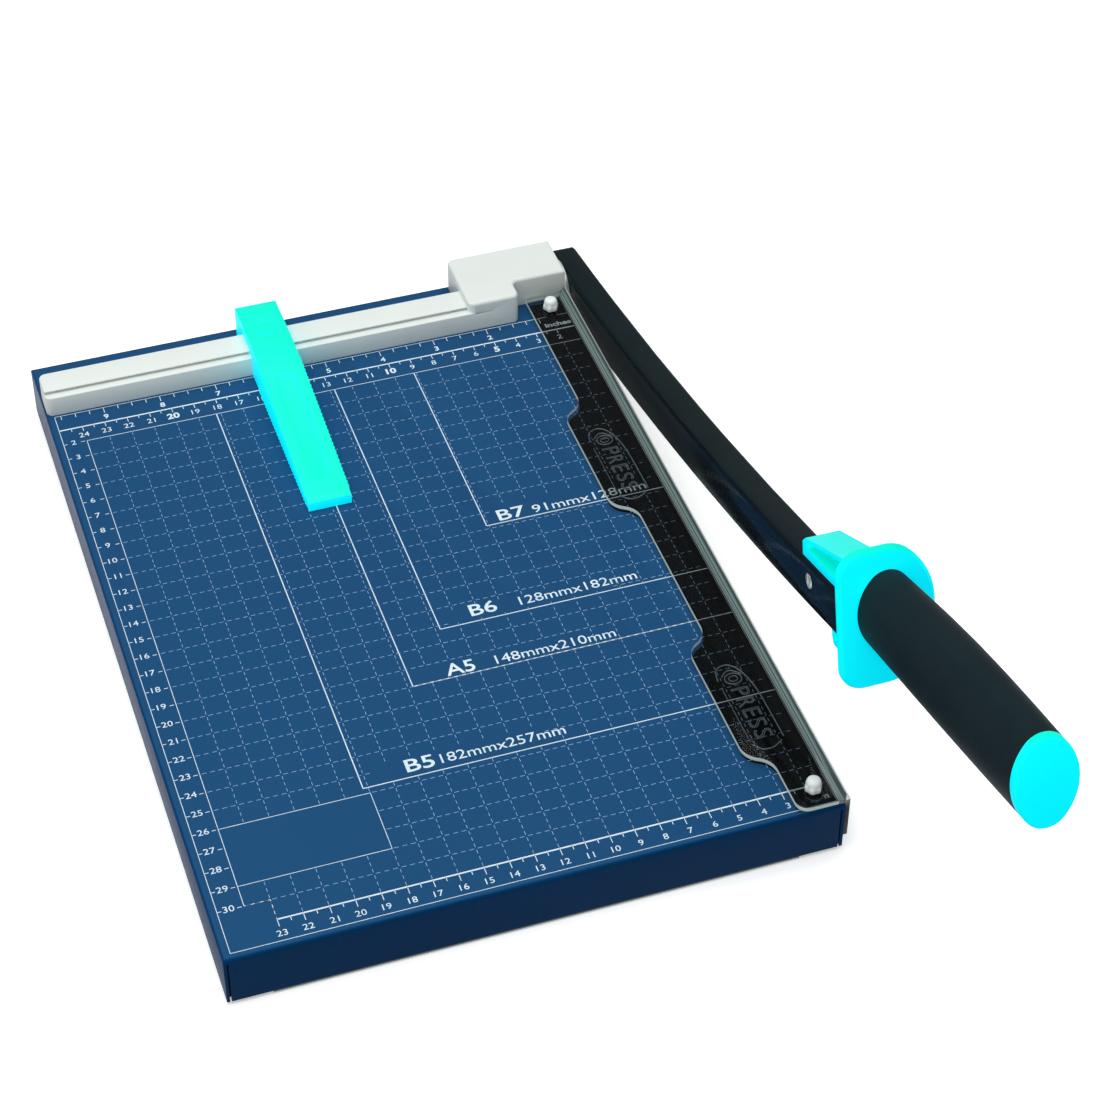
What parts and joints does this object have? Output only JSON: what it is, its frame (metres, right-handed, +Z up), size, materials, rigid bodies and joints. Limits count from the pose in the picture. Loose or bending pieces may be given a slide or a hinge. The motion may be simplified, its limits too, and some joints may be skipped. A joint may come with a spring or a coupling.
{
  "type": "guillotine paper trimmer",
  "caption": "Desktop lever paper cutter: printed sheet-metal bed, end fence with sliding stop, sprung clear hold-down guard and a bowed hinged blade arm with an offset hand grip.",
  "frame": {"origin": "centre of the base's footprint, on the table", "axes": "+Z up, +X towards the cutting side with the arm, +Y towards the hinge end; the handle reaches out towards -Y"},
  "size_m": [0.274, 0.4917, 0.1751],
  "materials": {
    "deck_enamel": "satin",
    "foot_rubber": "matt",
    "fence_plastic": "satin",
    "zinc_screw": "zinc plated",
    "knife_steel": "ground",
    "bracket_steel": "zinc plated",
    "zinc_nut": "zinc plated",
    "bolt_steel": "zinc plated",
    "washer_steel": "tumbled",
    "spring_steel": "oiled",
    "arm_enamel": "satin black",
    "blade_steel": "blackened, ground edge",
    "black_screw": "blackened",
    "bush_bronze": "sintered",
    "bright_screw": "bright",
    "collar_plastic": "satin gloss",
    "grip_foam": "matt moulded",
    "cap_plastic": "satin gloss",
    "guard_acrylic": "smoke tinted clear plastic",
    "post_steel": "turned",
    "knob_plastic": "gloss",
    "stop_plastic": "satin gloss"
  },
  "bodies": {
    "base": {"base_tray": "deck_enamel", "rubber_feet": "foot_rubber", "fence_moulding": "fence_plastic", "fence_screws": "zinc_screw", "bed_knife": "knife_steel", "knife_screws": "zinc_screw", "hinge_bracket": "bracket_steel", "bracket_screws": "zinc_screw", "bracket_nuts": "zinc_nut", "pivot_bolt": "bolt_steel", "pivot_washer": "washer_steel", "pivot_spring_washer": "spring_steel", "pivot_nut": "zinc_nut", "guard_posts": "post_steel", "guard_nuts": "zinc_nut", "guard_springs": "spring_steel", "guard_knobs": "knob_plastic"},
    "arm": {"cutting_arm": "arm_enamel", "blade": "blade_steel", "blade_screws": "black_screw", "arm_bush": "bush_bronze", "handle_screw": "bright_screw", "handle_collar": "collar_plastic", "grip": "grip_foam", "grip_cap": "cap_plastic", "grip_screw": "zinc_screw"},
    "guard": {"guard_plate": "guard_acrylic"},
    "stop": {"paper_stop": "stop_plastic", "stop_spring": "spring_steel"}
  },
  "joints": [
    {"name": "arm_hinge", "type": "hinge", "parent": "base", "child": "arm", "pos_m": [0.13125, 0.1668, 0.0238], "axis": [-1, 0, 0], "range_deg": [-13.5, 46.5]},
    {"name": "guard_press", "type": "slide", "parent": "base", "child": "guard", "axis": [0, 0, 1], "range_m": [-0.0016, 0], "stiffness_N_per_m": 900, "springref_m": 0.001, "deforming": ["guard_springs"]},
    {"name": "stop_slide", "type": "slide", "parent": "base", "child": "stop", "axis": [1, 0, 0], "range_m": [-0.0915, 0.0815]}
  ]
}
